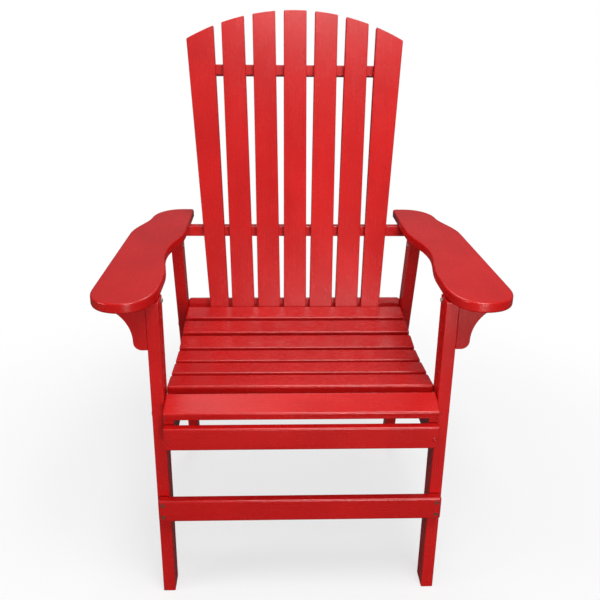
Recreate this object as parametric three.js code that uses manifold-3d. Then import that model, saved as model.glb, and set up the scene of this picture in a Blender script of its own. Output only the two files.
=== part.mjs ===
// Painted wooden adirondack chair in dining height: sawn boards, screws and bolts, each its own piece.
// Millimetres, +Z up, the sitter faces -Y. Heights are measured from the floor, and Y from the front
// face of the front legs, until the whole chair is moved to the middle of its footprint at the end.

import * as THREE from 'three';
import { mergeVertices } from 'three/addons/utils/BufferGeometryUtils.js';
import Module from 'manifold-3d';

const wasm = await Module();
wasm.setup();

// ---- Driving dimensions -------------------------------------------------------------------------

const fitGap = 0.3; // air left between two boards that touch
const boreGap = 0.3; // radial and end clearance of every bore
const arris = 2.5; // radius rounded on the long edges of the boards

// Seat
const seatSlatCount = 7;
const seatSlatLength = 527;
const slatWidth = 55;
const slatThickness = 19;
const seatSlatGap = 13.5; // along the side rail's top edge
const slatEndGap = 0.5; // from a seat slat's end to the leg beside it
const seatCrestY = 35; // where the front nose meets the dish, on the side rails' top edge
const seatCrestZ = 454;
const noseAngle = 17; // degrees, front slat, rising to the rear
const dishFrontAngle = -5;
const dishRearAngle = 6.5;
const dishFrontRun = 143; // straight stretch behind the crest
const dishRadius = 430;
const crestToSlat = 1; // from the crest to the second slat

// Legs
const legThickness = 25;
const legDepth = 45;
const armRise = 210; // from the seat's crest to the undersides of the arms
const rearLegAhead = 8.6; // front edge of the rear leg before the foot of the back, at that height
const rearLegLean = 15.4; // degrees, foot to the rear

// Side rails
const railThickness = 20;
const railDrop = 72; // lower edge below the seat's crest
const railTail = 11; // beyond the rear edge of the rear leg
const railTailRadius = 28;

// Front apron and foot rail
const apronThickness = 18;
const apronHeight = 48;
const apronDrop = 28.5; // top below the seat's crest
const apronFrontY = -44;
const footRailThickness = 19;
const footRailHeight = 50;
const footRailBottomZ = 194;
const footRailInset = 3; // each end, from the outer face of the leg

// Back
const backLean = 16.5; // degrees from upright
const backSlatCount = 7;
const backSlatGap = 8.5; // at the foot
const backSideGap = 55.5; // from the end of a seat slat to the foot of the outermost back slat
const fanStep = 0.97; // degrees between neighbours
const outerSlatFoot = 45; // the outermost slats are tapered: their width at the foot ...
const outerSlatInnerSlope = 2.83; // ... and the slopes of their edges in degrees
const outerSlatOuterSlope = 4.7;
const backArcRadius = 528;
const backHeight = 724; // along the centre slat
const backFootGap = 0.6; // from the rear seat slat
const backRailThickness = 20;
const topRailHeight = 25;
const topRailLow = 573.5; // along the back
const topRailInset = 20; // from the outer edge of the fan
const bottomRailTop = 27;
const bottomRailCornerRadius = 5;
const midRailHeight = 24;
const midRailInset = 22; // from the outer edge of the arm's rear end

// Arms
const armThickness = 20;
const armInnerReach = 1; // outwards from the inner faces of the legs
const armWaistReach = 16.5;
const armRearInnerReach = -7;
const armOuterReach = 98; // outwards from the outer faces of the legs
const armTaper = 5;
const armRearOuterReach = 63;
const armOverhang = 55; // in front of the legs
const armRearOverhang = 71; // behind the middle rail
const armEdgeRadius = 4;
const armRearCorner = 10;
const armNoseShift = 4; // foremost point, inwards from the middle of the arm
const armInnerRoundness = 18; // how far each curve's handle reaches across the arm
const armOuterRoundness = 25;
const armRearRoundness = 40;
const armRearFlat = 28; // straight rear end, from the inner side
const armSideSlant = 1.5;

// Arm brackets
const bracketThickness = 20;
const bracketSetback = 2; // behind the front face of the leg
const bracketReach = 74; // from the outer face of the leg
const bracketNeck = 26.5;
const bracketLip = 10.5; // upright edge under the arm
const bracketCoveRadius = 72.5;
const bracketToeRadius = 16;
const bracketNeckHeight = 2; // upright stretch between the cove and the toe

// Fasteners
const boltRadius = 3;
const boltHeadRadius = 8;
const boltHeadHeight = 1.8;
const nutAcross = 10;
const nutHeight = 5.5;
const boltProud = 2.5; // bolt end beyond its nut
const screwRadius = 2;
const screwHeadRadius = 4.4;
const screwHeadDepth = 3;
const screwLength = 42;
const capRadius = 5;
const capHeight = 2.4;
const capShank = 20;
const boltEdge = 25; // lower bolt's centre from the side rail's lower edge
const boltRise = 22; // upper bolt above the lower one
const boltStagger = 20; // upper bolt in front of the lower one
const footScrewSpacing = 28;
const capDropFront = 10; // centre below the arm
const capDropRear = 14;
const capEdge = 8; // from the rear edge of the front leg
const apronScrewRise = 20; // above the apron's lower edge

// ---- Derived places -----------------------------------------------------------------------------

const rad = THREE.MathUtils.degToRad;
const sides = [['left', -1], ['right', 1]];
const legInnerX = seatSlatLength / 2 + slatEndGap;
const legOuterX = legInnerX + legThickness;
const legMidX = legInnerX + legThickness / 2;
const railOuterX = legInnerX - fitGap;
const railInnerX = railOuterX - railThickness;
const railMidX = railOuterX - railThickness / 2;
const railFrontY = apronFrontY + apronThickness + fitGap;
const armUnderside = seatCrestZ + armRise;
const legTopZ = armUnderside - fitGap;
const railBottomZ = seatCrestZ - railDrop;
const apronBottomZ = seatCrestZ - apronDrop - apronHeight;
const seatPitch = slatWidth + seatSlatGap;

const along = (angle) => new THREE.Vector2(Math.cos(rad(angle)), Math.sin(rad(angle)));
const above = (angle) => new THREE.Vector2(-Math.sin(rad(angle)), Math.cos(rad(angle)));
const step = (from, direction, length) => from.clone().addScaledVector(direction, length);

// The side rails' top edge in the Y-Z plane: nose, crest, front slope, dish, rear slope.
const crest = new THREE.Vector2(seatCrestY, seatCrestZ);
const dishStart = step(crest, along(dishFrontAngle), dishFrontRun);
const dishCentre = step(dishStart, above(dishFrontAngle), dishRadius);
const dishEnd = step(dishCentre, above(dishRearAngle), -dishRadius);
const dishLength = dishRadius * rad(dishRearAngle - dishFrontAngle);

function seatEdge(distance) {
  if (distance < 0) return step(crest, along(noseAngle), distance);
  if (distance < dishFrontRun) return step(crest, along(dishFrontAngle), distance);
  const beyond = distance - dishFrontRun;
  if (beyond > dishLength) return step(dishEnd, along(dishRearAngle), beyond - dishLength);
  const angle = dishFrontAngle + THREE.MathUtils.radToDeg(beyond / dishRadius);
  return step(dishCentre, above(angle), -dishRadius);
}

const slatStart = (number) => crestToSlat + (number - 2) * seatPitch;

// The back slats stand just behind the rear seat slat. Their front faces lie in one leaning plane.
const rearSlatEnd = seatEdge(slatStart(seatSlatCount) + slatWidth);
const rearSlatMiddle = step(rearSlatEnd, above(dishRearAngle), slatThickness / 2 + fitGap);
const backFoot = step(rearSlatMiddle, along(dishRearAngle), backFootGap);
const backUp = above(-backLean);
const backRear = along(-backLean);
const backPoint = (depth, height) => step(step(backFoot, backRear, depth), backUp, height);
const railFace = slatThickness + fitGap; // depth of the back rails' front faces

// The rear legs cross the side rails beside the foot of the back.
const rearLegSlope = Math.tan(rad(rearLegLean));
const rearLegFrontY = (height) => backFoot.x - rearLegAhead + (backFoot.y - height) * rearLegSlope;
const rearLegRun = legDepth / Math.cos(rad(rearLegLean)); // the leg's depth along Y
const rearLegMidY = (height) => rearLegFrontY(height) + rearLegRun / 2;
const railRearY = rearLegFrontY(railBottomZ) + rearLegRun + railTail;

// The fan fills the seat's width, less a gap at each side. The slats between the tapered ones are equal.
const outerSlatOuterX = seatSlatLength / 2 - backSideGap;
const outerSlatInnerX = outerSlatOuterX - outerSlatFoot;
const evenSlats = backSlatCount - 2;
const backSlatWidth = (2 * outerSlatInnerX - (evenSlats + 1) * backSlatGap) / evenSlats;
const backSlatPitch = backSlatWidth + backSlatGap;

// The middle rail carries the arms, so its top is level while its front follows the back's lean.
function midRailFrontY(height) {
  const rise = (height - backPoint(railFace, 0).y) / backUp.y;
  return backPoint(railFace, rise).x;
}

// Arms, in plan on the +X side. Places along the arm are shares of its length from the front.
const armInnerX = legInnerX + armInnerReach;
const armWaistX = legInnerX + armWaistReach;
const armRearInnerX = legInnerX + armRearInnerReach;
const armOuterX = legOuterX + armOuterReach;
const armRearOuterX = legOuterX + armRearOuterReach;
const armFrontY = -armOverhang;
const armRearY = midRailFrontY(legTopZ) + backRailThickness + armRearOverhang;
const armY = (share) => armFrontY + share * (armRearY - armFrontY);

// The bottom rail stands on the side rails: the height in the back's plane where their edges meet.
const railSlope = along(dishRearAngle);
const toEdge = dishEnd.clone().sub(backPoint(railFace, 0));
const bottomRailSeat = toEdge.cross(railSlope) / backUp.cross(railSlope);

// ---- Solids -------------------------------------------------------------------------------------

const paint = { color: 0xc4201c, roughness: 0.38, metalness: 0 };
const zinc = { color: 0xb9b4ac, roughness: 0.35, metalness: 0.85 };
const rawScrew = { color: 0x9c6a4c, roughness: 0.5, metalness: 0.5 };

function piece(name, geometry, look) {
  const mesh = new THREE.Mesh(geometry, new THREE.MeshStandardMaterial(look));
  mesh.name = name;
  return mesh;
}

// Where two curves of an outline meet they can leave twin points, which would break a bevel.
function withoutTwins(shape, curveSegments) {
  const points = shape.getPoints(curveSegments);
  const kept = points.filter((point, index) => (
    point.distanceTo(points[(index + 1) % points.length]) > 1e-3
  ));
  const outline = new THREE.Shape(kept);
  outline.holes = shape.holes;
  return outline;
}

// Extrudes a shape by a length, with its long edges rounded by the radius given.
function board(shape, length, radius = arris, curveSegments = 10) {
  const geometry = new THREE.ExtrudeGeometry(withoutTwins(shape, curveSegments), {
    depth: length - 2 * radius,
    curveSegments,
    bevelEnabled: radius > 0,
    bevelThickness: radius,
    bevelSize: radius,
    bevelOffset: -radius,
    bevelSegments: 2,
  });
  return geometry.translate(0, 0, radius);
}

const axes = (x, y, z) => new THREE.Matrix4().makeBasis(x, y, z);
const unitX = new THREE.Vector3(1, 0, 0);
const unitY = new THREE.Vector3(0, 1, 0);
const unitZ = new THREE.Vector3(0, 0, 1);

// A profile drawn in Y and Z, extruded along +X from the place given.
function boardAcross(shape, startX, length, radius, curveSegments) {
  const solid = board(shape, length, radius, curveSegments);
  return solid.applyMatrix4(axes(unitY, unitZ, unitX)).translate(startX, 0, 0);
}

// A profile drawn in X and Z, extruded along -Y from the place given.
function boardForward(shape, startY, length, radius) {
  const forward = unitY.clone().negate();
  return board(shape, length, radius).applyMatrix4(axes(unitX, unitZ, forward)).translate(0, startY, 0);
}

function polygon(points) {
  return new THREE.Shape(points.map(([a, b]) => new THREE.Vector2(a, b)));
}

function rectangle(left, low, right, high) {
  return polygon([[left, low], [right, low], [right, high], [left, high]]);
}

function roundedRectangle(left, low, right, high, radius) {
  const shape = new THREE.Shape();
  shape.moveTo(left + radius, low);
  shape.absarc(right - radius, low + radius, radius, -Math.PI / 2, 0);
  shape.absarc(right - radius, high - radius, radius, 0, Math.PI / 2);
  shape.absarc(left + radius, high - radius, radius, Math.PI / 2, Math.PI);
  shape.absarc(left + radius, low + radius, radius, Math.PI, 1.5 * Math.PI);
  return shape;
}

function toSolid(geometry) {
  const bare = geometry.clone();
  bare.deleteAttribute('normal');
  bare.deleteAttribute('uv');
  const merged = mergeVertices(bare, 1e-4);
  return new wasm.Manifold(new wasm.Mesh({
    numProp: 3,
    vertProperties: new Float32Array(merged.attributes.position.array),
    triVerts: new Uint32Array(merged.index.array),
  }));
}

function cut(geometry, tools) {
  let solid = toSolid(geometry);
  for (const tool of tools) {
    solid = solid.subtract(toSolid(tool));
  }
  const mesh = solid.getMesh();
  const result = new THREE.BufferGeometry();
  result.setAttribute('position', new THREE.BufferAttribute(new Float32Array(mesh.vertProperties), 3));
  result.setIndex(new THREE.BufferAttribute(new Uint32Array(mesh.triVerts), 1));
  result.computeVertexNormals();
  return result;
}

// ---- Fasteners: drawn pointing along +Z with the head's seat at the origin ----------------------

function turned(profile, segments) {
  const points = profile.map(([radius, height]) => new THREE.Vector2(radius, height));
  const geometry = new THREE.LatheGeometry(points, segments);
  return geometry.applyMatrix4(axes(unitX, unitZ, unitY.clone().negate()));
}

// Dome-headed bolt: the shank runs along +Z and the head is on the -Z side.
function domeBolt(headRadius, headHeight, shankRadius, length, grow = 0) {
  return turned([
    [0, -headHeight],
    [headRadius * 0.55, -headHeight * 0.82],
    [headRadius * 0.88, -headHeight * 0.45],
    [headRadius, 0],
    [shankRadius + grow, 0],
    [shankRadius + grow, length + grow],
    [0, length + grow],
  ], 12);
}

function countersunkScrew(grow = 0) {
  return turned([
    [0, 0],
    [screwHeadRadius + grow, 0],
    [screwRadius + grow, screwHeadDepth + grow],
    [screwRadius + grow, screwLength + grow],
    [0, screwLength + grow],
  ], 12);
}

// The bore for a shank, open at the seat's side.
function bore(radius, length) {
  return turned([[0, -1], [radius, -1], [radius, length], [0, length]], 12);
}

// Turns geometry that points along +Z to point along the axis given, and moves it to its place.
function aim(geometry, axis, x, y, z) {
  const turn = new THREE.Quaternion().setFromUnitVectors(unitZ, axis);
  return geometry.applyQuaternion(turn).translate(x, y, z);
}

// ---- Where the fasteners go ---------------------------------------------------------------------

const boltPlaces = [
  { level: 'lower', z: railBottomZ + boltEdge, shift: boltStagger / 2 },
  { level: 'upper', z: railBottomZ + boltEdge + boltRise, shift: -boltStagger / 2 },
];
const boltLength = legThickness + fitGap + railThickness + fitGap + nutHeight + boltProud;

const legBolts = [];
boltPlaces.forEach(({ level, z, shift }) => {
  legBolts.push({ leg: 'front', level, y: legDepth / 2 + shift, z });
  legBolts.push({ leg: 'rear', level, y: rearLegMidY(z) + shift, z });
});
const legCaps = [
  { leg: 'front', y: legDepth - capEdge, z: armUnderside - capDropFront },
  { leg: 'rear', y: rearLegMidY(armUnderside - capDropRear), z: armUnderside - capDropRear },
];
const footScrewHeights = [-0.5, 0.5].map((n) => footRailBottomZ + footRailHeight / 2 + n * footScrewSpacing);
const footRailFrontY = -fitGap - footRailThickness;
const apronScrewZ = apronBottomZ + apronScrewRise;

const inward = (sign) => unitX.clone().multiplyScalar(-sign);
const outward = (sign) => unitX.clone().multiplyScalar(sign);

function boltBores(sign, leg) {
  const bolts = legBolts.filter((bolt) => bolt.leg === leg);
  return bolts.map((bolt) => (
    aim(bore(boltRadius + boreGap, boltLength), inward(sign), sign * legOuterX, bolt.y, bolt.z)
  ));
}

function capBore(sign, leg) {
  const cap = legCaps.find((entry) => entry.leg === leg);
  return aim(bore(screwRadius + boreGap, capShank + boreGap), outward(sign), sign * legInnerX, cap.y, cap.z);
}

function footScrews(sign, build) {
  return footScrewHeights.map((height) => aim(build(), unitY, sign * legMidX, footRailFrontY, height));
}

function apronScrew(sign, build) {
  return aim(build(), unitY, sign * railMidX, apronFrontY, apronScrewZ);
}

const screwBore = () => countersunkScrew(boreGap);

// ---- Frame: legs, side rails, apron, foot rail --------------------------------------------------

function frontLeg(side, sign) {
  const startX = sign > 0 ? legInnerX : -legOuterX;
  const blank = boardAcross(rectangle(0, 0, legDepth, legTopZ), startX, legThickness);
  const tools = [...boltBores(sign, 'front'), capBore(sign, 'front'), ...footScrews(sign, screwBore)];
  return piece(`front_leg_${side}`, cut(blank, tools), paint);
}

function rearLeg(side, sign) {
  const topY = rearLegFrontY(legTopZ);
  const footY = rearLegFrontY(0);
  const profile = polygon([
    [footY, 0],
    [footY + rearLegRun, 0],
    [topY + rearLegRun, legTopZ],
    [topY, legTopZ],
  ]);
  const startX = sign > 0 ? legInnerX : -legOuterX;
  const blank = boardAcross(profile, startX, legThickness);
  return piece(`rear_leg_${side}`, cut(blank, [...boltBores(sign, 'rear'), capBore(sign, 'rear')]), paint);
}

function sideRailProfile() {
  const noseTop = seatCrestZ - (seatCrestY - railFrontY) * Math.tan(rad(noseAngle));
  const notch = backPoint(railFace, bottomRailSeat);
  const tailZ = notch.y - (railRearY - notch.x) * Math.tan(rad(backLean));
  const shape = new THREE.Shape();
  shape.moveTo(railFrontY, railBottomZ);
  shape.absarc(railRearY - railTailRadius, railBottomZ + railTailRadius, railTailRadius, -Math.PI / 2, 0);
  shape.lineTo(railRearY, tailZ);
  shape.lineTo(notch.x, notch.y);
  const fromAngle = rad(dishRearAngle - 90);
  const toAngle = rad(dishFrontAngle - 90);
  shape.absarc(dishCentre.x, dishCentre.y, dishRadius, fromAngle, toAngle, true);
  shape.lineTo(crest.x, crest.y);
  shape.lineTo(railFrontY, noseTop);
  return shape;
}

function sideRail(side, sign) {
  const startX = sign > 0 ? railInnerX : -railOuterX;
  const blank = boardAcross(sideRailProfile(), startX, railThickness, 0);
  const tools = [...boltBores(sign, 'front'), ...boltBores(sign, 'rear'), apronScrew(sign, screwBore)];
  return piece(`side_rail_${side}`, cut(blank, tools), paint);
}

function frontApron() {
  const half = seatSlatLength / 2;
  const profile = rectangle(-half, apronBottomZ, half, apronBottomZ + apronHeight);
  const blank = boardForward(profile, apronFrontY + apronThickness, apronThickness);
  const tools = sides.map(([, sign]) => apronScrew(sign, screwBore));
  return piece('front_apron', cut(blank, tools), paint);
}

function footRail() {
  const half = legOuterX - footRailInset;
  const profile = rectangle(-half, footRailBottomZ, half, footRailBottomZ + footRailHeight);
  const blank = boardForward(profile, -fitGap, footRailThickness);
  const tools = sides.flatMap(([, sign]) => footScrews(sign, screwBore));
  return piece('foot_rail', cut(blank, tools), paint);
}

// ---- Seat ---------------------------------------------------------------------------------------

function seatSlat(number) {
  const start = seatEdge(slatStart(number));
  const end = seatEdge(slatStart(number) + slatWidth);
  const profile = roundedRectangle(0, fitGap, slatWidth, fitGap + slatThickness, arris);
  const geometry = boardAcross(profile, -seatSlatLength / 2, seatSlatLength, 0, 2);
  const mesh = piece(`seat_slat_${number}`, geometry, paint);
  mesh.position.set(0, start.x, start.y);
  mesh.rotation.x = end.sub(start).angle();
  return mesh;
}

// ---- Back: drawn flat in X and height along the back, then leaned -------------------------------

const arcCentre = backHeight - backArcRadius;

// Height at which a slat's edge, x = foot + slope * height, meets the arc over the back.
function arcHeight(footX, slope) {
  const a = 1 + slope * slope;
  const b = 2 * (footX * slope - arcCentre);
  const c = footX * footX + arcCentre * arcCentre - backArcRadius * backArcRadius;
  return (-b + Math.sqrt(b * b - 4 * a * c)) / (2 * a);
}

function backSlatShape(leftFoot, leftSlope, rightFoot, rightSlope) {
  const leftTop = arcHeight(leftFoot, leftSlope);
  const rightTop = arcHeight(rightFoot, rightSlope);
  const leftX = leftFoot + leftSlope * leftTop;
  const rightX = rightFoot + rightSlope * rightTop;
  const shape = new THREE.Shape();
  shape.moveTo(leftFoot, 0);
  shape.lineTo(rightFoot, 0);
  shape.lineTo(rightX, rightTop);
  const fromAngle = Math.acos(rightX / backArcRadius);
  const toAngle = Math.acos(leftX / backArcRadius);
  shape.absarc(0, arcCentre, backArcRadius, fromAngle, toAngle);
  return shape;
}

function backSlat(number) {
  const place = number - (backSlatCount + 1) / 2; // 0 in the middle of the fan
  const mirror = Math.sign(place);
  let edges;
  if (number === 1 || number === backSlatCount) {
    const inner = [mirror * outerSlatInnerX, mirror * Math.tan(rad(outerSlatInnerSlope))];
    const outer = [mirror * outerSlatOuterX, mirror * Math.tan(rad(outerSlatOuterSlope))];
    edges = mirror > 0 ? [...inner, ...outer] : [...outer, ...inner];
  } else {
    const slope = Math.tan(rad(place * fanStep));
    const half = backSlatWidth / 2 / Math.cos(rad(place * fanStep));
    edges = [place * backSlatPitch - half, slope, place * backSlatPitch + half, slope];
  }
  const geometry = board(backSlatShape(...edges), slatThickness, arris, 6).translate(0, 0, -slatThickness);
  return piece(`back_slat_${number}`, geometry, paint);
}

function backRail(name, shape) {
  const geometry = board(shape, backRailThickness, arris, 4);
  return piece(name, geometry.translate(0, 0, -railFace - backRailThickness), paint);
}

function backTopRail() {
  const half = outerSlatOuterX + topRailLow * Math.tan(rad(outerSlatOuterSlope)) - topRailInset;
  return backRail('back_top_rail', rectangle(-half, topRailLow, half, topRailLow + topRailHeight));
}

function backBottomRail() {
  const half = seatSlatLength / 2;
  const corner = bottomRailCornerRadius;
  const shape = new THREE.Shape();
  shape.moveTo(-half, bottomRailSeat + fitGap);
  shape.lineTo(half, bottomRailSeat + fitGap);
  shape.absarc(half - corner, bottomRailTop - corner, corner, 0, Math.PI / 2);
  shape.absarc(corner - half, bottomRailTop - corner, corner, Math.PI / 2, Math.PI);
  return backRail('back_bottom_rail', shape);
}

function backMidRail() {
  const top = legTopZ;
  const low = top - midRailHeight;
  const half = armRearOuterX - midRailInset;
  const profile = polygon([
    [midRailFrontY(low), low],
    [midRailFrontY(low) + backRailThickness, low],
    [midRailFrontY(top) + backRailThickness, top],
    [midRailFrontY(top), top],
  ]);
  return piece('back_mid_rail', boardAcross(profile, -half, 2 * half), paint);
}

// ---- Arms and their brackets --------------------------------------------------------------------

// The ends of the arm's curves, each as its place across and its share along the arm.
function armShape() {
  const noseX = (armInnerX + armOuterX) / 2 - armNoseShift;
  const rearFlatX = armRearInnerX + armRearFlat;
  const taperX = armOuterX - armTaper;
  const shape = new THREE.Shape();
  const curve = (x1, share1, x2, share2, x, share) => (
    shape.bezierCurveTo(x1, armY(share1), x2, armY(share2), x, armY(share))
  );
  shape.moveTo(armInnerX, armY(0.145));
  curve(armInnerX, 0.065, armInnerX + armInnerRoundness, 0, noseX, 0);
  curve(armOuterX - armOuterRoundness, 0, armOuterX, 0.04, armOuterX, 0.115);
  shape.lineTo(taperX, armY(0.657));
  curve(taperX, 0.752, armRearOuterX + armSideSlant, 0.8, armRearOuterX, 0.879);
  curve(armRearOuterX - armSideSlant, 0.94, rearFlatX + armRearRoundness, 1, rearFlatX, 1);
  shape.lineTo(armRearInnerX + armRearCorner, armRearY);
  shape.quadraticCurveTo(armRearInnerX, armRearY, armRearInnerX, armRearY - armRearCorner);
  shape.lineTo(armRearInnerX, armY(0.696));
  curve(armRearInnerX, 0.612, armWaistX, 0.55, armWaistX, 0.456);
  curve(armWaistX, 0.375, armInnerX, 0.313, armInnerX, 0.23);
  return shape;
}

function mirrored(shape, sign) {
  if (sign > 0) return shape;
  const points = shape.getPoints(10).map((point) => new THREE.Vector2(-point.x, point.y));
  return new THREE.Shape(points.reverse());
}

function arm(side, sign) {
  const geometry = board(mirrored(armShape(), sign), armThickness, armEdgeRadius, 10);
  return piece(`arm_${side}`, geometry.translate(0, 0, armUnderside), paint);
}

function bracketShape() {
  const legFace = legOuterX + fitGap;
  const bracketTopX = legOuterX + bracketReach;
  const bracketNeckX = legOuterX + bracketNeck;
  const coveX = bracketNeckX + bracketCoveRadius;
  const coveTop = Math.acos((coveX - bracketTopX) / bracketCoveRadius);
  const coveZ = legTopZ - bracketLip - bracketCoveRadius * Math.sin(coveTop);
  const toeZ = coveZ - bracketNeckHeight;
  const low = toeZ - bracketToeRadius;
  const shape = new THREE.Shape();
  shape.moveTo(legFace, legTopZ);
  shape.lineTo(legFace, low);
  shape.absarc(bracketNeckX - bracketToeRadius, toeZ, bracketToeRadius, -Math.PI / 2, 0);
  shape.absarc(coveX, coveZ, bracketCoveRadius, Math.PI, Math.PI - coveTop, true);
  shape.lineTo(bracketTopX, legTopZ);
  return shape;
}

function armBracket(side, sign) {
  const rearY = bracketSetback + bracketThickness;
  const geometry = boardForward(mirrored(bracketShape(), sign), rearY, bracketThickness, 2);
  return piece(`arm_bracket_${side}`, geometry, paint);
}

// ---- Fasteners as pieces ------------------------------------------------------------------------

function railBolt(side, sign, { leg, level, y, z }) {
  const geometry = domeBolt(boltHeadRadius, boltHeadHeight, boltRadius, boltLength);
  const placed = aim(geometry, inward(sign), sign * (legOuterX + fitGap), y, z);
  return piece(`${leg}_leg_bolt_${level}_${side}`, placed, zinc);
}

function railNut(side, sign, { leg, level, y, z }) {
  const corner = nutAcross / 2 / Math.cos(Math.PI / 6);
  const hexagon = [0, 1, 2, 3, 4, 5].map((n) => [
    corner * Math.cos((n * Math.PI) / 3),
    corner * Math.sin((n * Math.PI) / 3),
  ]);
  const shape = polygon(hexagon);
  shape.holes.push(new THREE.Path().absarc(0, 0, boltRadius + boreGap, 0, 2 * Math.PI));
  const geometry = board(shape, nutHeight, 0, 8);
  const placed = aim(geometry, inward(sign), sign * (railInnerX - fitGap), y, z);
  return piece(`${leg}_leg_nut_${level}_${side}`, placed, zinc);
}

function legCap(side, sign, { leg, y, z }) {
  const geometry = domeBolt(capRadius, capHeight, screwRadius, capShank);
  const placed = aim(geometry, outward(sign), sign * (legInnerX - fitGap), y, z);
  return piece(`${leg}_leg_arm_screw_${side}`, placed, zinc);
}

// ---- Assembly -----------------------------------------------------------------------------------

const chair = new THREE.Group();

const back = new THREE.Group();
back.position.set(0, backFoot.x, backFoot.y);
back.rotation.x = rad(90 - backLean);
for (let number = 1; number <= backSlatCount; number += 1) {
  back.add(backSlat(number));
}
back.add(backTopRail(), backBottomRail());
chair.add(back, backMidRail());

for (let number = 1; number <= seatSlatCount; number += 1) {
  chair.add(seatSlat(number));
}

chair.add(frontApron(), footRail());
for (const [side, sign] of sides) {
  chair.add(frontLeg(side, sign), rearLeg(side, sign), sideRail(side, sign));
  chair.add(arm(side, sign), armBracket(side, sign));
  legBolts.forEach((bolt) => chair.add(railBolt(side, sign, bolt), railNut(side, sign, bolt)));
  legCaps.forEach((cap) => chair.add(legCap(side, sign, cap)));
  footScrews(sign, countersunkScrew).forEach((geometry, index) => {
    chair.add(piece(`foot_rail_screw_${index === 0 ? 'lower' : 'upper'}_${side}`, geometry, rawScrew));
  });
  chair.add(piece(`apron_screw_${side}`, apronScrew(sign, countersunkScrew), rawScrew));
}

// The origin is on the floor, in the middle of the chair's box.
const box = new THREE.Box3().setFromObject(chair);
chair.position.set(0, -(box.min.y + box.max.y) / 2, 0);
chair.updateMatrixWorld(true);

export default chair;
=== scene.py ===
"""A painted wooden adirondack chair of dining height, dressed for the studio."""

import math

import bmesh
import bpy
from mathutils import Matrix, Vector
from mathutils.geometry import interpolate_bezier


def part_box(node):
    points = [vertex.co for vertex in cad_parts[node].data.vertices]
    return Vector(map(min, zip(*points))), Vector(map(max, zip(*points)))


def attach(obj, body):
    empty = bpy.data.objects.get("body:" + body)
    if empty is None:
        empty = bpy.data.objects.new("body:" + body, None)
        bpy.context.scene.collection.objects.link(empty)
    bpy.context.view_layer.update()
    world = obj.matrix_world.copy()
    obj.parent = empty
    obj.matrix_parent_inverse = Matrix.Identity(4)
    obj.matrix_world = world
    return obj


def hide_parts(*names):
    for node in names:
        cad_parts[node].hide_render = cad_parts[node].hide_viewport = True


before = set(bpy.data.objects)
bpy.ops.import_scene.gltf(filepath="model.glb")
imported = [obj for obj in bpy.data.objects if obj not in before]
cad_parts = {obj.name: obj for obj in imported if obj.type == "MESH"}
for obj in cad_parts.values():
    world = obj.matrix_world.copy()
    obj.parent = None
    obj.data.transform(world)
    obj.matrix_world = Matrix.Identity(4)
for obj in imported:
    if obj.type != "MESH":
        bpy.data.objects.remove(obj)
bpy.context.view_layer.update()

# ---- Camera --------------------------------------------------------------------------------------
# A standing person's view of the chair from a step in front of it, a little left of its middle and
# looking down on the seat.

camera_place = (-0.0592, -1.5281, 1.1587)
camera_down = math.radians(20.81)
camera_right = math.radians(2.14)
camera_roll = math.radians(0.68)
camera_lens = 43.49  # millimetres, like the sensor's width
camera_sensor = 36
camera_shift = (0.0061, -0.0193)  # shares of the picture's width
camera_near = 0.05

lens = bpy.data.cameras.new("camera")
lens.lens = camera_lens
lens.sensor_width = camera_sensor
lens.shift_x, lens.shift_y = camera_shift
lens.clip_start = camera_near
camera = bpy.data.objects.new("camera", lens)
camera.matrix_world = (
    Matrix.Translation(camera_place)
    @ Matrix.Rotation(-camera_right, 4, "Z")
    @ Matrix.Rotation(math.pi / 2 - camera_down, 4, "X")
    @ Matrix.Rotation(camera_roll, 4, "Z")
)
bpy.context.scene.collection.objects.link(camera)
bpy.context.scene.camera = camera
bpy.context.scene.view_settings.view_transform = "Standard"

# ---- Studio --------------------------------------------------------------------------------------
# A white floor that runs out into a white surround. The main softbox hangs high in front of the
# chair, and a second one stands low before it. Weaker ones light the left, the top and the back.


class Wire:
    """A value on its way through a material's nodes. Arithmetic on it adds Math nodes."""

    def __init__(self, tree, socket=None):
        self.tree = tree
        self.socket = socket

    def node(self, kind, settings, inputs, output=0):
        """Adds a node, sets it up, fills or links its sockets and returns one of its outputs."""
        made = self.tree.nodes.new(kind)
        for setting, value in settings.items():
            setattr(made, setting, value)
        for socket, value in inputs.items():
            if isinstance(value, Wire):
                self.tree.links.new(value.socket, made.inputs[socket])
            else:
                made.inputs[socket].default_value = value
        return Wire(self.tree, made.outputs[output] if made.outputs else None)

    def combine(self, operation, other):
        return self.node("ShaderNodeMath", {"operation": operation}, {0: self, 1: other})

    def __add__(self, other):
        return self.combine("ADD", other)

    def __sub__(self, other):
        return self.combine("SUBTRACT", other)

    def __mul__(self, other):
        return self.combine("MULTIPLY", other)

    def between(self, low, high):
        """0 below the low value, 1 above the high one, and a soft change between them."""
        return self.node(
            "ShaderNodeMapRange",
            {"interpolation_type": "SMOOTHSTEP"},
            {"Value": self, "From Min": low, "From Max": high},
        )

    def blend(self, first, second):
        """The first colour where the wire is 0, the second where it is 1."""
        return self.node(
            "ShaderNodeMix",
            {"data_type": "RGBA"},
            {"Factor": self, 6: first, 7: second},
            output=2,
        )


def fresh_tree(owner):
    """Empties the nodes of a material or a world and returns a wire to build on."""
    owner.use_nodes = True
    owner.node_tree.nodes.clear()
    return Wire(owner.node_tree)


floor_white = (0.93, 0.93, 0.93, 1)
floor_grey = (0.14, 0.14, 0.14, 1)
floor_lift = 0.65  # the share of the floor that is white even in the chair's shadow
floor_fade = (0.55, 1.5)  # metres from the chair, over which the floor runs out to white
floor_reach = 30
floor_drop = 0.0005  # below the feet
surround_low = (0.15, 0.15, 0.16, 1)
surround_high = (0.24, 0.24, 0.25, 1)
surround_rise = (0.05, 0.9)  # how steeply one looks up where it starts and ends to brighten

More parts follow.
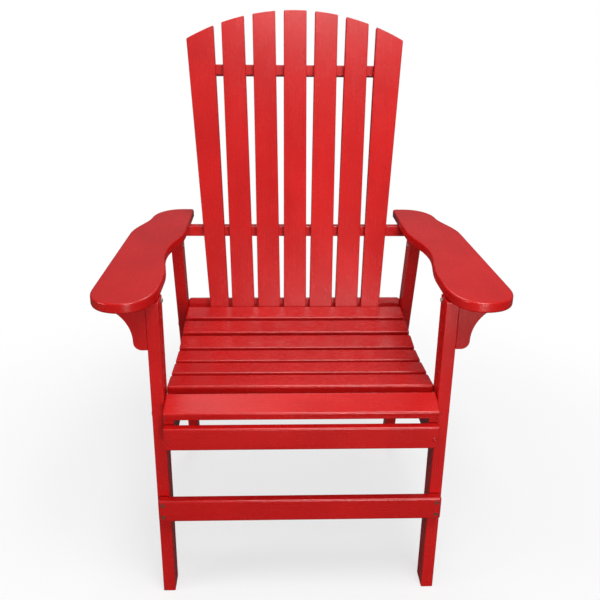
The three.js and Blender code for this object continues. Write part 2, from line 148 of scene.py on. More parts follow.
floor_material = bpy.data.materials.new("studio_floor")
start = fresh_tree(floor_material)
seen = start.node("ShaderNodeLightPath", {}, {}, output="Is Camera Ray")
floor_point = start.node("ShaderNodeTexCoord", {}, {}, output="Object")
reach = start.node("ShaderNodeVectorMath", {"operation": "LENGTH"}, {0: floor_point}, output=1)
paper = start.node("ShaderNodeBsdfDiffuse", {}, {"Color": seen.blend(floor_grey, floor_white)})
glow = start.node("ShaderNodeEmission", {}, {"Color": (1, 1, 1, 1), "Strength": 1.0})
far = (reach.between(*floor_fade) * (1 - floor_lift) + floor_lift) * seen
mixed = start.node("ShaderNodeMixShader", {}, {0: far, 1: paper, 2: glow})
start.node("ShaderNodeOutputMaterial", {}, {"Surface": mixed})

floor_mesh = bmesh.new()
bmesh.ops.create_circle(floor_mesh, cap_ends=True, segments=64, radius=floor_reach)
bmesh.ops.translate(floor_mesh, verts=floor_mesh.verts, vec=(0, 0, -floor_drop))
floor_data = bpy.data.meshes.new("studio_floor")
floor_mesh.to_mesh(floor_data)
floor_mesh.free()
floor_data.materials.append(floor_material)
floor = bpy.data.objects.new("studio_floor", floor_data)
bpy.context.scene.collection.objects.link(floor)

surround = bpy.data.worlds.new("surround")
start = fresh_tree(surround)
seen = start.node("ShaderNodeLightPath", {}, {}, output="Is Camera Ray")
direction = start.node("ShaderNodeTexCoord", {}, {}, output="Generated")
height = start.node("ShaderNodeSeparateXYZ", {}, {"Vector": direction}, output="Z")
room = height.between(*surround_rise).blend(surround_low, surround_high)
sky = start.node(
    "ShaderNodeBackground", {}, {"Color": seen.blend(room, (1, 1, 1, 1)), "Strength": 1.0}
)
start.node("ShaderNodeOutputWorld", {}, {"Surface": sky})
bpy.context.scene.world = surround

softboxes = [
    # name, place, aimed at, width, power in watts
    ("softbox_above", (-0.6, 0.7, 2.8), (0.0, 0.0, 0.5), 1.0, 5),
    ("softbox_front", (0.4, -1.3, 3.2), (0.0, 0.0, 0.6), 1.5, 68),
    ("softbox_left", (-2.4, -1.0, 1.1), (0.0, 0.0, 0.5), 1.0, 15),
    ("softbox_low", (0.5, -3.0, 0.25), (0.0, 0.0, 0.35), 1.0, 48),
    ("softbox_rear", (0.2, 2.6, 3.4), (0.0, 0.0, 0.6), 1.2, 24),
]
for name, place, target, size, power in softboxes:
    light = bpy.data.lights.new(name, "AREA")
    light.shape = "SQUARE"
    light.size = size
    light.energy = power
    box = bpy.data.objects.new(name, light)
    aim = Vector(target) - Vector(place)
    box.matrix_world = Matrix.Translation(place) @ aim.to_track_quat("-Z", "Y").to_matrix().to_4x4()
    bpy.context.scene.collection.objects.link(box)

# ---- Front legs ----------------------------------------------------------------------------------
# Two upright boards of planed pine from the floor to the arms, their edges eased with a router
# before they were sprayed with a satin red enamel.

sides = [("left", -1), ("right", 1)]
across, rearward, upward = Vector((1, 0, 0)), Vector((0, 1, 0)), Vector((0, 0, 1))
leg_arris = 0.0018
corner_angle = math.radians(25)  # edges that turn by more than this are rounded
touching = 1e-6  # points nearer to each other than this are the same
hole_steps = 32
enamel_deep = (0.50, 0.0050, 0.0048, 1)
enamel_full = (0.66, 0.0110, 0.0100, 1)
enamel_thin = (0.42, 0.0050, 0.0045, 1)
enamel_satin = 0.27
enamel_shine = 0.45
grain_bump, grain_height = 0.1, 0.00015
grain_upright = (0, math.pi / 2, 0)
grain_sideways = (0, 0, 0)
grain_forward = (0, 0, -math.pi / 2)


def red_enamel(name, turn):
    """Satin red enamel over planed pine. The turn lays the wood's grain along the pattern's X."""
    material = bpy.data.materials.new(name)
    start = fresh_tree(material)
    point = start.node("ShaderNodeTexCoord", {}, {}, output="Object")
    laid = start.node(
        "ShaderNodeMapping", {"vector_type": "POINT"}, {"Vector": point, "Rotation": turn}
    )

    def noise(stretch, detail, roughness=0.55):
        """Noise with that many waves to the metre along the grain and in the other directions."""
        place = start.node("ShaderNodeVectorMath", {"operation": "MULTIPLY"}, {0: laid, 1: stretch})
        return start.node(
            "ShaderNodeTexNoise",
            {"noise_dimensions": "3D"},
            {"Vector": place, "Scale": 1.0, "Detail": detail, "Roughness": roughness},
        )

    fibres = noise((9, 520, 520), 3)
    rings = noise((1.6, 75, 75), 2)
    cloud = noise((7, 9, 9), 2)
    peel = noise((650, 650, 650), 1)
    smudge = noise((22, 30, 30), 4, 0.65)
    arris = start.node("ShaderNodeAttribute", {"attribute_name": "arris"}, {}, output="Fac")
    tone_and_painted_light = start.node("ShaderNodeAttribute", {"attribute_name": "tone_and_painted_light"}, {}, output="Fac")

    # Broad clouds, the board's tone and a trace of the grain set how deep the red is. The tone is
    # partly the board's own, differing at random, and partly painted light: boards that stand where
    # more light falls are given a lighter red. The coat is thin on some of the rounded edges.
    depth = cloud * 0.9 + tone_and_painted_light * 0.5 - 0.30 + (rings - 0.5) * 0.28 + (fibres - 0.5) * 0.14
    sprayed = depth.between(0.0, 1.0).blend(enamel_deep, enamel_full)
    worn = arris * smudge.between(0.35, 0.75) * 0.7
    colour = worn.blend(sprayed, enamel_thin)
    gloss = (smudge - 0.5) * 0.10 + (fibres - 0.5) * 0.04 + enamel_satin - arris * 0.03
    relief = fibres * 0.35 + rings * 0.6 + peel * 0.12
    bump = start.node(
        "ShaderNodeBump",
        {},
        {"Strength": grain_bump, "Distance": grain_height, "Height": relief},
    )
    enamel = start.node(
        "ShaderNodeBsdfPrincipled",
        {},
        {
            "Base Color": colour,
            "Roughness": gloss,
            "Specular IOR Level": enamel_shine,
            "Normal": bump,
        },
    )
    start.node("ShaderNodeOutputMaterial", {}, {"Surface": enamel})
    return material


def drawn_on(right, up, origin=(0, 0, 0)):
    """The plane that a board's outline is drawn on: its two directions and its origin."""
    plane = Matrix((right, up, right.cross(up))).transposed().to_4x4()
    plane.translation = origin
    return plane


def along(angle):
    """The direction in a drawing at an angle from its first axis."""
    return Vector((math.cos(angle), math.sin(angle)))


def rectangle(left, low, right, high):
    return [(left, low), (right, low), (right, high), (left, high)]


def arc(centre, radius, first, last, steps):
    """Points round a centre from the first angle to the last."""
    angles = [first + (last - first) * step / steps for step in range(steps + 1)]
    return [tuple(Vector(centre) + along(angle) * radius) for angle in angles]


def show(name, mesh, material, slot, *nodes):
    """Makes the finished mesh a piece of the chair that stands for the CAD nodes given."""
    data = bpy.data.meshes.new(name)
    mesh.to_mesh(data)
    mesh.free()
    data.materials.append(material)
    piece = bpy.data.objects.new(name, data)
    bpy.context.scene.collection.objects.link(piece)
    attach(piece, "root")
    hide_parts(*nodes)
    return piece


def drill(mesh, faces, depths, holes):
    """Opens round holes between the two flat faces of a board. Each is a centre and a radius."""
    turns = [along(2 * math.pi * step / hole_steps) for step in range(hole_steps)]
    rims = [[] for _ in holes]

    def flat_at(depth):
        for face in faces:
            if all(abs(vert.co.z - depth) < touching for vert in face.verts):
                return face

    flats = [flat_at(depth) for depth in depths]
    for flat, depth in zip(flats, depths):
        bounds = list(flat.edges)
        bmesh.ops.delete(mesh, geom=[flat], context="FACES_ONLY")
        for hole, (centre, radius) in enumerate(holes):
            ring = [mesh.verts.new((*(centre + turn * radius), depth)) for turn in turns]
            rim = [mesh.edges.new(pair) for pair in zip(ring, ring[1:] + ring[:1])]
            rims[hole] += rim
            bounds += rim
        bmesh.ops.triangle_fill(mesh, use_beauty=True, edges=bounds)
    for rim in rims:
        bmesh.ops.bridge_loops(mesh, edges=rim)
        for edge in rim:
            edge.smooth = False


def saw_board(name, plane, outline, front, back, arris, material, tone_and_painted_light=0.5, rounds=4, holes=()):
    """Saws a board from its outline, between two depths off its plane, and rounds its edges."""
    mesh = bmesh.new()
    for u, v in outline:
        mesh.verts.new((u, v, front))
    blank = mesh.faces.new(mesh.verts)
    grown = bmesh.ops.extrude_face_region(mesh, geom=[blank])["geom"]
    moved = [part for part in grown if isinstance(part, bmesh.types.BMVert)]
    bmesh.ops.translate(mesh, verts=moved, vec=(0, 0, back - front))
    bmesh.ops.recalc_face_normals(mesh, faces=mesh.faces)
    sharp = [edge for edge in mesh.edges if edge.calc_face_angle() > corner_angle]
    eased = bmesh.ops.bevel(
        mesh,
        geom=sharp,
        offset=arris,
        offset_type="OFFSET",
        affect="EDGES",
        segments=rounds,
        profile=0.5,
        material=-1,
        clamp_overlap=False,
    )
    rounded = set(eased["faces"])
    if holes:
        drill(mesh, [face for face in mesh.faces if face not in rounded], (front, back), holes)
    arris_layer = mesh.verts.layers.float.new("arris")
    # Each board's tone, a random shade of its red and partly painted light, goes on all its points.
    tone_and_painted_light_layer = mesh.verts.layers.float.new("tone_and_painted_light")
    for vert in mesh.verts:
        vert[arris_layer] = float(all(face in rounded for face in vert.link_faces))
        vert[tone_and_painted_light_layer] = tone_and_painted_light
    for face in mesh.faces:
        face.smooth = True
    bmesh.ops.transform(mesh, matrix=plane, verts=mesh.verts)
    bmesh.ops.recalc_face_normals(mesh, faces=mesh.faces)
    piece = show(f"{name}_wood", mesh, material, "red_paint", name)
    evened = piece.modifiers.new("even_shading", "WEIGHTED_NORMAL")
    evened.keep_sharp = True
    return piece


enamel_upright = red_enamel("red_enamel_upright", grain_upright)
side_view = drawn_on(rearward, upward)
# The right leg's red is painted lighter than the left's: painted light, for the light that falls
# more on the right of the chair.
for number, (side, _) in enumerate(sides):
    low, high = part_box(f"front_leg_{side}")
    saw_board(
        f"front_leg_{side}",
        side_view,
        rectangle(low.y, low.z, high.y, high.z),
        low.x,
        high.x,
        leg_arris,
        enamel_upright,
        tone_and_painted_light=0.3 + 0.5 * number,
    )
front_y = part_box("front_leg_left")[0].y  # the chair's own depths start at this face

# ---- Foot rail and front apron -------------------------------------------------------------------
# Two boards across the front, their edges rounded more than the legs'. The foot rail is screwed to
# the faces of the legs, and the apron to the front ends of the side rails.

enamel_across = red_enamel("red_enamel_across", grain_sideways)
front_view = drawn_on(across, upward)
front_arris = 0.004
screw_head = 0.0044
screw_hole = screw_head + 0.0002
front_screws = {
    "foot_rail": [
        "foot_rail_screw_lower_left",
        "foot_rail_screw_lower_right",
        "foot_rail_screw_upper_left",
        "foot_rail_screw_upper_right",
    ],
    "front_apron": ["apron_screw_left", "apron_screw_right"],
}
for name, tone_and_painted_light in (("foot_rail", 0.25), ("front_apron", 0.35)):
    low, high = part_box(name)
    holes = []
    for screw in front_screws[name]:
        screw_low, screw_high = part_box(screw)
        middle = Vector((screw_low.x + screw_high.x, screw_low.z + screw_high.z)) / 2
        holes.append((middle, screw_hole))
    saw_board(
        name,
        front_view,
        rectangle(low.x, low.z, high.x, high.z),
        -low.y,
        -high.y,
        front_arris,
        enamel_across,
        tone_and_painted_light=tone_and_painted_light,
        holes=holes,
    )

# ---- Screws through the foot rail and the apron --------------------------------------------------
# Countersunk wood screws with a cross recess, driven until their heads sit a hair below the face of
# the wood. The foot rail's brownish heads are bare, and the apron's are painted over.

screw_steps = 32
screw_neck = 0.002
screw_depth = 0.003  # of the tapered head, and of the point
screw_length = 0.042
cross_long, cross_half = 0.0024, 0.00055  # half the length and half the width of each slot
recess_depth = 0.0016
recess_narrowing = 0.55  # its bottom, as a share of its rim
flat_face = 1e-5  # square metres: smaller faces belong to a rounded surface


def metal(name, bright, dull, metallic, smooth):
    """A metal with a fine grain of scratches and a patchy surface."""
    material = bpy.data.materials.new(name)
    start = fresh_tree(material)
    point = start.node("ShaderNodeTexCoord", {}, {}, output="Object")
    patch = start.node(
        "ShaderNodeTexNoise", {}, {"Vector": point, "Scale": 620.0, "Detail": 3.0, "Roughness": 0.6}
    )
    grain = start.node(
        "ShaderNodeTexNoise", {}, {"Vector": point, "Scale": 3200.0, "Detail": 2.0}
    )
    bump = start.node(
        "ShaderNodeBump", {}, {"Strength": 0.35, "Distance": 0.00004, "Height": patch + grain * 0.5}
    )
    finish = start.node(
        "ShaderNodeBsdfPrincipled",
        {},
        {
            "Base Color": patch.between(0.32, 0.68).blend(bright, dull),
            "Metallic": metallic,
            "Roughness": patch * 0.22 + grain * 0.08 + smooth,
            "Normal": bump,
        },
    )
    start.node("ShaderNodeOutputMaterial", {}, {"Surface": finish})
    return material


def cross_reach(angle):
    """How far a cross recess reaches from its middle in a direction."""
    run, rise = max(abs(math.cos(angle)), touching), max(abs(math.sin(angle)), touching)
    level = min(cross_long / run, cross_half / rise)
    plumb = min(cross_half / run, cross_long / rise)
    return max(level, plumb)


def turned(profile, steps, closed=False):
    """A mesh turned about Z from a profile of radii and heights, which may close on itself."""
    mesh = bmesh.new()
    points = [mesh.verts.new((radius, 0, height)) for radius, height in profile]
    following = points[1:] + points[:1] if closed else points[1:]
    edges = [mesh.edges.new(pair) for pair in zip(points, following)]
    bmesh.ops.spin(
        mesh,
        geom=points + edges,
        cent=(0, 0, 0),
        axis=(0, 0, 1),
        angle=2 * math.pi,
        steps=steps,
        use_merge=True,
    )
    return mesh


def turn_head(profile, reach, depth):
    """Turns a screw or a bolt and sinks a driving recess into the ring its profile starts with."""
    mesh = turned(profile, screw_steps)
    bmesh.ops.remove_doubles(mesh, verts=mesh.verts, dist=touching)
    rim = [edge for edge in mesh.edges if edge.is_boundary]
    for sink, narrow in ((0.0, 1.0), (depth, recess_narrowing)):
        made = bmesh.ops.extrude_edge_only(mesh, edges=rim)["geom"]
        rim = [part for part in made if isinstance(part, bmesh.types.BMEdge)]
        for vert in {vert for edge in rim for vert in edge.verts}:
            angle = math.atan2(vert.co.y, vert.co.x)
            radius = reach(angle) * narrow
            vert.co = (radius * math.cos(angle), radius * math.sin(angle), profile[0][1] - sink)
    bmesh.ops.contextual_create(mesh, geom=rim)
    bmesh.ops.recalc_face_normals(mesh, faces=mesh.faces)
    for face in mesh.faces:
        face.smooth = face.calc_area() < flat_face and len(face.verts) < 5
    return mesh


def drive_in(mesh, direction, head):
    """Points the screw's tip along the direction and puts its head's seat at the place given."""
    turn = (-Vector(direction)).to_track_quat("Z", "Y").to_matrix().to_4x4()
    bmesh.ops.transform(mesh, matrix=Matrix.Translation(head) @ turn, verts=mesh.verts)


wood_screw = [
    (0.0030, -0.0001),
    (0.0041, -0.0001),
    (screw_head, -0.0004),
    (screw_neck, -screw_depth),
    (screw_neck, screw_depth - screw_length),
    (0.0, -screw_length),
]
screw_brown = metal("brown_screw", (0.24, 0.075, 0.045, 1), (0.12, 0.030, 0.020, 1), 0.35, 0.42)
for board, finish in (("foot_rail", screw_brown), ("front_apron", enamel_across)):
    for name in front_screws[board]:
        low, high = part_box(name)
        mesh = turn_head(wood_screw, cross_reach, recess_depth)
        drive_in(mesh, rearward, ((low.x + high.x) / 2, low.y, (low.z + high.z) / 2))
        show(f"{name}_head", mesh, finish, "screw_brown", name)

# ---- Side rails ----------------------------------------------------------------------------------
# The seat bearers, bolted between the legs. Their top edge is band-sawn to the dished seat: a nose
# that rises to a crest, a straight slope, a dish, and a slope up to the back.

seat_crest = Vector((0.035, 0.454))
nose_angle = math.radians(17)
slope_front, slope_rear = math.radians(-5), math.radians(6.5)
slope_run = 0.143
dish_radius = 0.430
tail_radius = 0.028
rail_arris = 0.0012
back_lean = math.radians(16.5)
back_gap = 0.0006  # from the rear seat slat to the back slats' feet
air = 0.0003  # between two boards that touch


def above(angle):
    """The direction in a drawing at right angles to the one along the angle."""
    return Vector((-math.sin(angle), math.cos(angle)))


dish_start = seat_crest + along(slope_front) * slope_run
dish_centre = dish_start + above(slope_front) * dish_radius
dish_end = dish_centre - above(slope_rear) * dish_radius
dish_length = dish_radius * (slope_rear - slope_front)


def seat_edge(distance):
    """The point of the side rail's top edge at a distance behind the crest."""
    if distance < 0:
        return seat_crest + along(nose_angle) * distance
    if distance < slope_run:
        return seat_crest + along(slope_front) * distance
    if distance > slope_run + dish_length:
        return dish_end + along(slope_rear) * (distance - slope_run - dish_length)
    return dish_centre - above(slope_front + (distance - slope_run) / dish_radius) * dish_radius


slat_width = 0.055
slat_thick = 0.019
slat_gap = 0.0135  # between two seat slats, along the rail's top edge
slat_step = slat_width + slat_gap
crest_gap = 0.001  # from the crest to the second slat
first_slat = crest_gap - slat_step
slat_count = 7
rear_slat_end = seat_edge(first_slat + (slat_count - 1) * slat_step + slat_width)
rear_slope = along(slope_rear)
back_foot = rear_slat_end + above(slope_rear) * (slat_thick / 2 + air) + rear_slope * back_gap
back_up, back_rear = above(-back_lean), along(-back_lean)

# The back's bottom rail stands on the side rails. The notch is the corner where their top edge
# turns down under it, and its height is measured up the back.
rail_face = slat_thick + air  # from the back's front to the rails behind it
rail_foot = back_foot + back_rear * rail_face
notch_height = (dish_end - rail_foot).cross(rear_slope) / back_up.cross(rear_slope)
notch = rail_foot + back_up * notch_height
tail_steps, dish_steps = 8, 8

enamel_forward = red_enamel("red_enamel_forward", grain_forward)
for side, _ in sides:
    low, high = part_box(f"side_rail_{side}")
    front, tail = low.y - front_y, high.y - front_y
    tail_centre = (tail - tail_radius, low.z + tail_radius)
    outline = [(front, low.z)]
    outline += arc(tail_centre, tail_radius, -math.pi / 2, 0, tail_steps)
    outline.append((tail, notch.y - (tail - notch.x) * math.tan(back_lean)))
    outline.append(tuple(notch))
    for step in range(dish_steps + 1):
        outline.append(tuple(seat_edge(slope_run + dish_length * (1 - step / dish_steps))))
    outline.append(tuple(seat_crest))
    outline.append((front, seat_crest.y - (seat_crest.x - front) * math.tan(nose_angle)))
    saw_board(
        f"side_rail_{side}",
        drawn_on(rearward, upward, (0, front_y, 0)),
        outline,
        low.x,
        high.x,
        rail_arris,
        enamel_forward,
        tone_and_painted_light=0.4,
        rounds=3,
    )

# ---- Rear legs -----------------------------------------------------------------------------------
# Boards like the front legs, leaning forward from the foot, with both ends sawn level.

rear_lean = math.radians(15.4)
leg_wide = 0.045
rear_run = leg_wide / math.cos(rear_lean)
enamel_rear_leg = red_enamel("red_enamel_rear_leg", (-rear_lean, math.pi / 2, 0))
for side, _ in sides:
    low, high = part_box(f"rear_leg_{side}")
    outline = [
        (high.y - rear_run, low.z),
        (high.y, low.z),
        (low.y + rear_run, high.z),
        (low.y, high.z),
    ]
    saw_board(
        f"rear_leg_{side}",
        side_view,
        outline,
        low.x,
        high.x,
        leg_arris,
        enamel_rear_leg,
        tone_and_painted_light=0.3,
    )

# ---- Bolts and nuts ------------------------------------------------------------------------------
# Zinc-plated furniture bolts with a hexagon socket in their domed heads hold each leg to its side
# rail, two to a leg. A hexagon nut closes each one on the inside of the rail.

bolt_head, bolt_rise, bolt_shank = 0.008, 0.0018, 0.003
bolt_socket, socket_depth = 0.004, 0.0022
thread_pitch, thread_depth, thread_turns = 0.001, 0.0003, 12
nut_across, nut_high = 0.010, 0.0055
nut_chamfer = 0.0004
nut_steps = 36
zinc = metal("zinc_plate", (0.62, 0.60, 0.56, 1), (0.46, 0.45, 0.43, 1), 0.9, 0.24)


def hexagon_reach(across_flats):
    """How far a hexagon of that width reaches from its middle in a direction."""

    def reach(angle):
        return across_flats / 2 / math.cos((angle + math.pi / 6) % (math.pi / 3) - math.pi / 6)

    return reach


def bolt_profile(length):
    """The bolt from its socket's rim, over the domed head and down the threaded shank."""
    profile = [
        (0.0030, bolt_rise),
        (0.0044, bolt_rise * 0.93),
        (0.0060, bolt_rise * 0.72),
        (0.0072, bolt_rise * 0.42),
        (0.0078, bolt_rise * 0.16),
        (bolt_head, 0.0),
        (bolt_shank, -0.0002),
    ]
    for turn in reversed(range(thread_turns)):
        below = turn * thread_pitch - length
        profile.append((bolt_shank - thread_depth, below + thread_pitch))
        profile.append((bolt_shank, below + thread_pitch / 2))
    profile.append((bolt_shank - thread_depth, -length))
    profile.append((0.0, -length))
    return profile


def cut_nut():
    """A hexagon nut about Z, its lower face on the floor, with a chamfered bore."""
    bore, mouth = bolt_shank + air, bolt_shank + 2 * air
    face, rim = nut_across / 2, nut_across / 2 - nut_chamfer / 2
    ring = [
        (bore, nut_chamfer),
        (mouth, 0.0),
        (rim, 0.0),
        (face, nut_chamfer),
        (face, nut_high - nut_chamfer),
        (rim, nut_high),
        (mouth, nut_high),
        (bore, nut_high - nut_chamfer),
    ]
    mesh = turned(ring, nut_steps, closed=True)
    flats = hexagon_reach(nut_across)
    for vert in mesh.verts:
        radius = math.hypot(vert.co.x, vert.co.y)
        if radius > (face + rim) / 2:
            wide = flats(math.atan2(vert.co.y, vert.co.x)) / radius
            vert.co.x, vert.co.y = vert.co.x * wide, vert.co.y * wide
    bmesh.ops.recalc_face_normals(mesh, faces=mesh.faces)
    return mesh


for side, sign in sides:
    for leg in ("front", "rear"):
        for level in ("lower", "upper"):
            bolt = f"{leg}_leg_bolt_{level}_{side}"
            low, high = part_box(bolt)
            length = high.x - low.x - bolt_rise
            mesh = turn_head(bolt_profile(length), hexagon_reach(bolt_socket), socket_depth)
            outer = low.x + bolt_rise if sign < 0 else high.x - bolt_rise
            middle = ((low.y + high.y) / 2, (low.z + high.z) / 2)
            drive_in(mesh, across * -sign, (outer, *middle))
            show(f"{bolt}_metal", mesh, zinc, "zinc", bolt)

            nut = f"{leg}_leg_nut_{level}_{side}"
            low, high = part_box(nut)
            mesh = cut_nut()
            turn = across.to_track_quat("Z", "Y").to_matrix().to_4x4()
            placed = Matrix.Translation((low.x, *middle)) @ turn
            bmesh.ops.transform(mesh, matrix=placed, verts=mesh.verts)
            show(f"{nut}_metal", mesh, zinc, "zinc", nut)

# ---- Seat slats ----------------------------------------------------------------------------------
# Seven equal slats lie across the side rails. Their edges are well rounded, and the front one tips
# down over the nose. Their screws are filled and painted over.

slat_arris = 0.004
seat_tones = [0.75, 0.45, 0.6, 0.55, 0.35, 0.3, 0.6]
for number in range(slat_count):
    name = f"seat_slat_{number + 1}"
    low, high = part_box(name)
    begin = seat_edge(first_slat + number * slat_step)
    end = seat_edge(first_slat + number * slat_step + slat_width)
    tilt = (end - begin).normalized()
    lying = drawn_on(
        Vector((0, tilt.x, tilt.y)),
        Vector((0, -tilt.y, tilt.x)),
        (0, front_y + begin.x, begin.y),
    )
    saw_board(
        name,
        lying,
        rectangle(0, air, slat_width, air + slat_thick),
        low.x,
        high.x,
        slat_arris,
        enamel_across,
        tone_and_painted_light=seat_tones[number],
    )

# ---- Back ----------------------------------------------------------------------------------------
# Seven slats fan out from the seat. Their tops are sawn to one arc, and the outermost two are
# tapered. Three rails behind them hold the fan together.

back_count = 7
fan_step = math.radians(0.97)
fan_pitch = 0.0635  # between the feet of neighbours
outer_edges = [
    # where each edge of the outermost slats starts, from the back's middle, and its slope
    (0.163, math.tan(math.radians(2.83))),
    (0.208, math.tan(math.radians(4.7))),
]
back_high = 0.724
arc_radius = 0.528
arc_centre = back_high - arc_radius
arc_steps = 8
back_arris = 0.002
# The back slats' red is painted lighter slat by slat from left to right: painted light, as if more
# light fell on the right of the back.
back_painted_light_ramp = [0.35, 0.4, 0.5, 0.6, 0.7, 0.75, 0.85]
back_origin = (0, front_y + back_foot.x, back_foot.y)
back_plane = drawn_on(across, Vector((0, back_up.x, back_up.y)), back_origin)
enamel_back = red_enamel("red_enamel_back", (back_lean, math.pi / 2, 0))


def on_arc(x):
    """The height of the arc over the back."""
    return arc_centre + math.sqrt(arc_radius**2 - x * x)


def arc_height(foot, slope):
    """Where a slat's edge meets the arc over the back."""
    a = 1 + slope * slope
    b = 2 * (foot * slope - arc_centre)
    c = foot * foot + arc_centre * arc_centre - arc_radius * arc_radius
    return (-b + math.sqrt(b * b - 4 * a * c)) / (2 * a)


for number in range(back_count):
    place = number - back_count // 2
    if number in (0, back_count - 1):
        sign = 1 if place > 0 else -1
        edges = sorted((sign * foot, sign * slope) for foot, slope in outer_edges)
    else:
        slope = math.tan(place * fan_step)
        half = slat_width / 2 / math.cos(place * fan_step)
        edges = [(place * fan_pitch - half, slope), (place * fan_pitch + half, slope)]
    (left_foot, left_slope), (right_foot, right_slope) = edges
    left_top, right_top = arc_height(*edges[0]), arc_height(*edges[1])
    left_x, right_x = left_foot + left_slope * left_top, right_foot + right_slope * right_top
    outline = [(left_foot, 0), (right_foot, 0), (right_x, right_top)]
    for step in range(1, arc_steps):
        x = right_x + (left_x - right_x) * step / arc_steps
        outline.append((x, on_arc(x)))
    outline.append((left_x, left_top))
    saw_board(
        f"back_slat_{number + 1}",
        back_plane,
        outline,
        -slat_thick,
        0,
        back_arris,
        enamel_back,
        tone_and_painted_light=back_painted_light_ramp[number],
    )

back_rail_thick = 0.020
top_rail_low, top_rail_top = 0.5735, 0.5985
low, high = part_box("back_top_rail")
saw_board(
    "back_top_rail",
    back_plane,
    rectangle(low.x, top_rail_low, high.x, top_rail_top),
    -rail_face - back_rail_thick,
    -rail_face,
    back_arris,
    enamel_across,
)
bottom_rail_low, bottom_rail_top = notch_height + air, 0.027
bottom_corner, corner_steps = 0.005, 6
low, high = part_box("back_bottom_rail")
corner_height = bottom_rail_top - bottom_corner
right_centre = (high.x - bottom_corner, corner_height)
left_centre = (low.x + bottom_corner, corner_height)
outline = [(low.x, bottom_rail_low), (high.x, bottom_rail_low)]
outline += arc(right_centre, bottom_corner, 0, math.pi / 2, corner_steps)
outline += arc(left_centre, bottom_corner, math.pi / 2, math.pi, corner_steps)
saw_board(
    "back_bottom_rail",
    back_plane,
    outline,
    -rail_face - back_rail_thick,
    -rail_face,
    back_arris,
    enamel_across,
)
low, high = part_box("back_mid_rail")
mid_slip = (high.z - low.z) * math.tan(back_lean)
saw_board(
    "back_mid_rail",
    side_view,
    [
        (low.y, low.z),
        (low.y + back_rail_thick, low.z),
        (low.y + back_rail_thick + mid_slip, high.z),
        (low.y + mid_slip, high.z),
    ],
    low.x,
    high.x,
    back_arris,
    enamel_across,
)

# ---- Arms ----------------------------------------------------------------------------------------
# Broad paddles, band-sawn from one board each: a wide rounded front, a waist on the inner side and
# an S-curve to the narrower rear end. Their edges are well rounded, for the sitter's arms.

arm_arris = 0.004
arm_inner, arm_waist, arm_rear_inner = 0.265, 0.2805, 0.257
arm_outer, arm_taper, arm_rear_outer = 0.387, 0.382, 0.352
arm_nose = 0.322
arm_inner_round, arm_outer_round, arm_rear_round = 0.018, 0.025, 0.040
arm_rear_flat, arm_rear_corner = 0.028, 0.010
arm_slant = 0.0015
arm_steps = 14  # to each curve
arm_low, arm_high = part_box("arm_left")


def arm_y(share):
    """A share of the arm's length, from its front end."""
    return arm_low.y + share * (arm_high.y - arm_low.y)


# The right arm's Bezier curves, from the inner side round the front, up the outer side, round the
# rear end and back along the waist.
arm_curves = [
    [
        (arm_inner, arm_y(0.145)),
        (arm_inner, arm_y(0.065)),
        (arm_inner + arm_inner_round, arm_low.y),
        (arm_nose, arm_low.y),
    ],
    [
        (arm_nose, arm_low.y),
        (arm_outer - arm_outer_round, arm_low.y),
        (arm_outer, arm_y(0.04)),
        (arm_outer, arm_y(0.115)),
    ],
    [
        (arm_taper, arm_y(0.657)),
        (arm_taper, arm_y(0.752)),
        (arm_rear_outer + arm_slant, arm_y(0.80)),
        (arm_rear_outer, arm_y(0.879)),
    ],
    [
        (arm_rear_outer, arm_y(0.879)),
        (arm_rear_outer - arm_slant, arm_y(0.94)),
        (arm_rear_inner + arm_rear_flat + arm_rear_round, arm_high.y),
        (arm_rear_inner + arm_rear_flat, arm_high.y),
    ],
    [
        (arm_rear_inner + arm_rear_corner, arm_high.y),
        (arm_rear_inner + arm_rear_corner / 3, arm_high.y),
        (arm_rear_inner, arm_high.y - arm_rear_corner / 3),
        (arm_rear_inner, arm_high.y - arm_rear_corner),
    ],
    [
        (arm_rear_inner, arm_y(0.696)),
        (arm_rear_inner, arm_y(0.612)),
        (arm_waist, arm_y(0.55)),
        (arm_waist, arm_y(0.456)),
    ],
    [
        (arm_waist, arm_y(0.456)),
        (arm_waist, arm_y(0.375)),
        (arm_inner, arm_y(0.313)),
        (arm_inner, arm_y(0.23)),
    ],
]


def curved_outline(curves, sign):
    """The outline that runs through Bezier curves, joined by straight lines, on the side given."""
    points = []
    for curve in curves:
        for point in interpolate_bezier(*[Vector(corner) for corner in curve], arm_steps):
            if not points or (Vector(points[-1]) - point).length > touching:
                points.append(tuple(point))
    return [(sign * x, y) for x, y in points]


# The right arm's red is painted lighter than the left's: painted light, for the light that falls
# more on the right.
for number, (side, sign) in enumerate(sides):
    saw_board(
        f"arm_{side}",
        drawn_on(across, rearward),
        curved_outline(arm_curves, sign),
        arm_low.z,
        arm_high.z,
        arm_arris,
        enamel_forward,
        tone_and_painted_light=0.45 + 0.35 * number,
        rounds=6,
    )

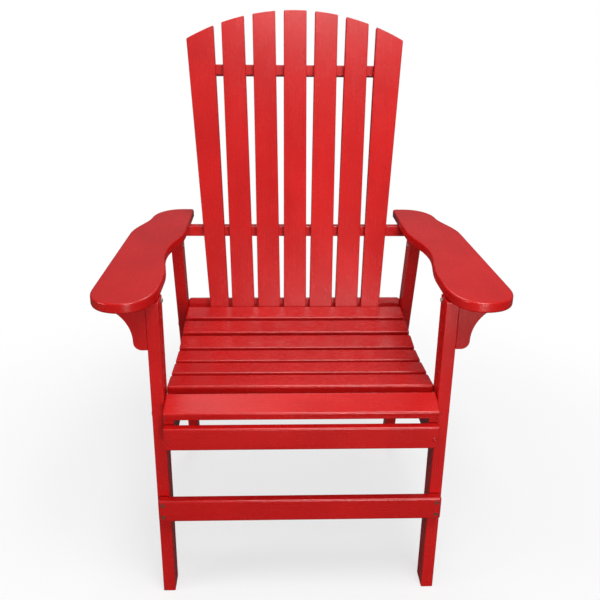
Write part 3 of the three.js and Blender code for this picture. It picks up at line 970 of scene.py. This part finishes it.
# ---- Arm brackets --------------------------------------------------------------------------------
# A shaped bracket is fixed to the outer face of each front leg under the arm: a hollow cove over a
# rounded toe.

bracket_top, bracket_neck = 0.363, 0.3155
cove_radius, toe_radius = 0.0725, 0.016
bracket_lip, neck_high = 0.0105, 0.002
bracket_arris = 0.0012
cove_steps, toe_steps = 12, 8
# The right bracket's red is painted a little lighter than the left's: painted light, for the light
# that falls more on the right.
for number, (side, sign) in enumerate(sides):
    low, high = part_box(f"arm_bracket_{side}")
    leg_face = min(abs(low.x), abs(high.x))
    cove_x = bracket_neck + cove_radius
    cove_span = math.acos((cove_x - bracket_top) / cove_radius)
    cove_z = high.z - bracket_lip - cove_radius * math.sin(cove_span)
    toe_x, toe_z = bracket_neck - toe_radius, cove_z - neck_high
    outline = [(leg_face, high.z), (leg_face, toe_z - toe_radius)]
    outline += arc((toe_x, toe_z), toe_radius, -math.pi / 2, 0, toe_steps)
    outline += arc((cove_x, cove_z), cove_radius, math.pi, math.pi - cove_span, cove_steps)
    outline.append((bracket_top, high.z))
    saw_board(
        f"arm_bracket_{side}",
        front_view,
        [(sign * x, z) for x, z in outline],
        -low.y,
        -high.y,
        bracket_arris,
        enamel_upright,
        tone_and_painted_light=0.3 + 0.2 * number,
        rounds=3,
    )

# ---- Screws at the tops of the legs --------------------------------------------------------------
# A bright dome-headed screw with a cross recess near the top of each leg, on its inner face.

cap_head, cap_rise = 0.005, 0.0024
cap_recess = 0.0012
for side, sign in sides:
    for leg in ("front", "rear"):
        name = f"{leg}_leg_arm_screw_{side}"
        low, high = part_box(name)
        length = high.x - low.x - cap_rise
        profile = [
            (0.0028, cap_rise),
            (0.0036, cap_rise * 0.82),
            (0.0044, cap_rise * 0.5),
            (0.0049, cap_rise * 0.16),
            (cap_head, 0.0),
            (screw_neck, 0.0),
            (screw_neck, screw_depth - length),
            (0.0, -length),
        ]
        mesh = turn_head(profile, cross_reach, cap_recess)
        seat = high.x - cap_rise if sign < 0 else low.x + cap_rise
        drive_in(mesh, across * sign, (seat, (low.y + high.y) / 2, (low.z + high.z) / 2))
        show(f"{name}_metal", mesh, zinc, "zinc", name)
